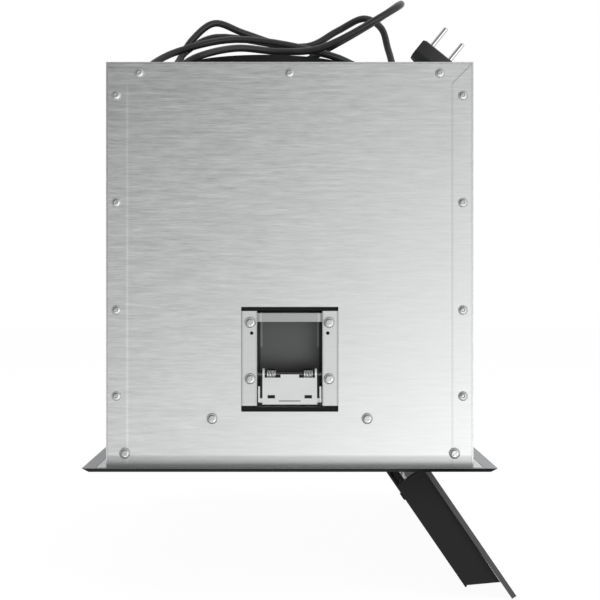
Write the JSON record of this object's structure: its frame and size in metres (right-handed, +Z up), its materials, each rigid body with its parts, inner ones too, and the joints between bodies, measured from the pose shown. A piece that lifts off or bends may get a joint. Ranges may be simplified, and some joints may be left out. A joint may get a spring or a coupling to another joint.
{
  "type": "built-in range hood",
  "caption": "Cabinet-mounted extractor hood: steel box with blower and round outlet, sprung cabinet clips, grease filters, push buttons and a tilting glass flap below.",
  "frame": {"origin": "centre of the box in the plane of the bottom frame's top face, which seats against the underside of the cabinet", "axes": "+Z up out of the seating face towards the outlet, the front with the controls and the flap's open side faces -Y, +X to the right seen from the front"},
  "size_m": [0.52, 0.3155, 0.4772],
  "materials": {
    "brushed_steel": "brushed",
    "bright_steel": "satin",
    "black_lacquer": "satin",
    "fastener_steel": "satin",
    "black_plastic": "moulded",
    "grey_plastic": "moulded",
    "motor_grey": "cast",
    "capacitor_white": "moulded",
    "board_green": "coated",
    "filter_aluminium": "satin",
    "black_glass": "polished",
    "lens_white": "frosted",
    "button_black": "gloss",
    "cord_black": "matt sheath",
    "pin_nickel": "polished"
  },
  "bodies": {
    "casing": {"side_panel_left": "brushed_steel", "side_panel_right": "brushed_steel", "front_panel": "brushed_steel", "rear_panel": "brushed_steel", "top_panel": "brushed_steel", "base_pan": "bright_steel", "bottom_frame": "black_lacquer", "blind_rivets": "fastener_steel", "panel_screws": "fastener_steel", "clip_backplates": "black_lacquer", "clip_bracket_left": "bright_steel", "clip_bracket_right": "bright_steel", "pivot_pins": "fastener_steel", "clip_springs": "fastener_steel", "clip_screws": "fastener_steel", "outlet_collar": "black_plastic", "damper_pin": "fastener_steel", "scroll_left": "grey_plastic", "scroll_right": "grey_plastic", "motor": "motor_grey", "motor_mount": "bright_steel", "blower_screws": "fastener_steel", "capacitor": "capacitor_white", "control_box": "black_plastic", "control_cover": "grey_plastic", "control_board": "board_green", "filter_tray": "brushed_steel", "hinge_brackets": "bright_steel", "hinge_bushes": "black_plastic", "button_housing": "black_plastic", "switch_board": "board_green", "cord_gland": "black_plastic", "mains_cord": "cord_black", "mains_plug": "black_plastic", "plug_pins": "pin_nickel"},
    "flap": {"flap_glass": "black_glass", "flap_housing": "black_plastic", "flap_cover": "black_plastic", "lamp_lens": "lens_white", "lamp_board": "lens_white", "hinge_arms": "bright_steel"},
    "latch_left": {"clip_latch_left": "bright_steel"},
    "latch_right": {"clip_latch_right": "bright_steel"},
    "damper_front": {"damper_front": "grey_plastic"},
    "damper_rear": {"damper_rear": "grey_plastic"},
    "rotor": {"impeller": "black_plastic", "impeller_blades": "black_plastic", "impeller_rings": "black_plastic", "motor_shaft": "fastener_steel"},
    "filter_left": {"filter_frame_left": "filter_aluminium", "filter_mesh_left": "filter_aluminium"},
    "filter_right": {"filter_frame_right": "filter_aluminium", "filter_mesh_right": "filter_aluminium"},
    "catch_left": {"filter_latch_left": "grey_plastic"},
    "catch_right": {"filter_latch_right": "grey_plastic"},
    "button_off": {"button_off": "button_black"},
    "button_low": {"button_low": "button_black"},
    "button_medium": {"button_medium": "button_black"},
    "button_high": {"button_high": "button_black"},
    "button_lamp": {"button_lamp": "button_black"}
  },
  "joints": [
    {"name": "flap_tilt", "type": "hinge", "parent": "casing", "child": "flap", "pos_m": [0, -0.0774, 0.0098], "axis": [-1, 0, 0], "range_deg": [-124.45, 0]},
    {"name": "latch_left_swing", "type": "hinge", "parent": "casing", "child": "latch_left", "pos_m": [-0.241, 0, 0.0664], "axis": [0, 1, 0], "range_deg": [-27, 0], "stiffness_Nm_per_rad": 0.5},
    {"name": "latch_right_swing", "type": "hinge", "parent": "casing", "child": "latch_right", "pos_m": [0.241, 0, 0.0664], "axis": [0, -1, 0], "range_deg": [-27, 0], "stiffness_Nm_per_rad": 0.5},
    {"name": "impeller_spin", "type": "hinge", "parent": "casing", "child": "rotor", "pos_m": [0, -0.028, 0.146], "axis": [1, 0, 0], "continuous": true},
    {"name": "damper_front_lift", "type": "hinge", "parent": "casing", "child": "damper_front", "pos_m": [0, 0.022, 0.284], "axis": [-1, 0, 0], "range_deg": [0, 78]},
    {"name": "damper_rear_lift", "type": "hinge", "parent": "casing", "child": "damper_rear", "pos_m": [0, 0.022, 0.284], "axis": [1, 0, 0], "range_deg": [0, 78]},
    {"name": "filter_left_drop", "type": "hinge", "parent": "casing", "child": "filter_left", "pos_m": [-0.118, 0.075, 0.0375], "axis": [1, 0, 0], "range_deg": [0, 60]},
    {"name": "catch_left_slide", "type": "slide", "parent": "filter_left", "child": "catch_left", "axis": [0, 1, 0], "range_m": [0, 0.004], "stiffness_N_per_m": 300},
    {"name": "filter_right_drop", "type": "hinge", "parent": "casing", "child": "filter_right", "pos_m": [0.118, 0.075, 0.0375], "axis": [1, 0, 0], "range_deg": [0, 60]},
    {"name": "catch_right_slide", "type": "slide", "parent": "filter_right", "child": "catch_right", "axis": [0, 1, 0], "range_m": [0, 0.004], "stiffness_N_per_m": 300},
    {"name": "button_off_press", "type": "slide", "parent": "casing", "child": "button_off", "axis": [0, 0, 1], "range_m": [0, 0.0012], "stiffness_N_per_m": 600},
    {"name": "button_low_press", "type": "slide", "parent": "casing", "child": "button_low", "axis": [0, 0, 1], "range_m": [0, 0.0012], "stiffness_N_per_m": 600},
    {"name": "button_medium_press", "type": "slide", "parent": "casing", "child": "button_medium", "axis": [0, 0, 1], "range_m": [0, 0.0012], "stiffness_N_per_m": 600},
    {"name": "button_high_press", "type": "slide", "parent": "casing", "child": "button_high", "axis": [0, 0, 1], "range_m": [0, 0.0012], "stiffness_N_per_m": 600},
    {"name": "button_lamp_press", "type": "slide", "parent": "casing", "child": "button_lamp", "axis": [0, 0, 1], "range_m": [0, 0.0012], "stiffness_N_per_m": 600}
  ]
}
